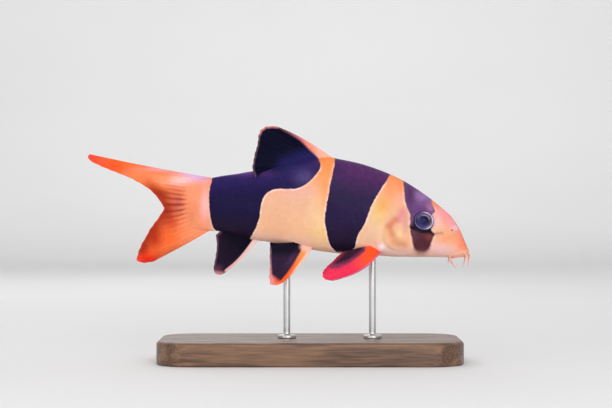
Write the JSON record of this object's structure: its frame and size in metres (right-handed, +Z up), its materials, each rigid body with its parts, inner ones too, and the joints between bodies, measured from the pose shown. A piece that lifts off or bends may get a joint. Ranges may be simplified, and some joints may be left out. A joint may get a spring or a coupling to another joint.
{
  "type": "life-size clown loach model on a display stand",
  "caption": "Banded freshwater fish with a down-turned snout, mouth barbels, spread fins and a forked tail, held over a flat base by short rods.",
  "frame": {"origin": "middle of the stand's base, on its underside", "axes": "+X the way the snout points, +Z up; the fish's right side faces -Y"},
  "size_m": [0.1324, 0.046, 0.0804],
  "materials": {
    "peach": "moist skin, satin to gloss",
    "black": "moist skin, satin to gloss",
    "orange": "moist fin membrane",
    "red": "moist fin membrane",
    "eye": "wet, clear gloss",
    "pink": "moist skin",
    "walnut": "oiled wood",
    "steel": "satin steel"
  },
  "bodies": {
    "root": {"head": "peach", "trunk": "black", "tail": "black", "gill_cover_right": "peach", "gill_cover_left": "peach", "eye_right": "eye", "eye_left": "eye", "dorsal_fin": "black", "anal_fin": "black", "caudal_fin_upper": "orange", "caudal_fin_lower": "orange", "pectoral_fin_right": "red", "pectoral_fin_left": "red", "pelvic_fin_right": "black", "pelvic_fin_left": "black", "barbel_inner_snout_right": "pink", "barbel_inner_snout_left": "pink", "barbel_outer_snout_right": "pink", "barbel_outer_snout_left": "pink", "barbel_mouth_corner_right": "pink", "barbel_mouth_corner_left": "pink", "barbel_chin_right": "pink", "barbel_chin_left": "pink", "stand_base": "walnut", "stand_rod_front": "steel", "stand_rod_rear": "steel"}
  },
  "joints": []
}
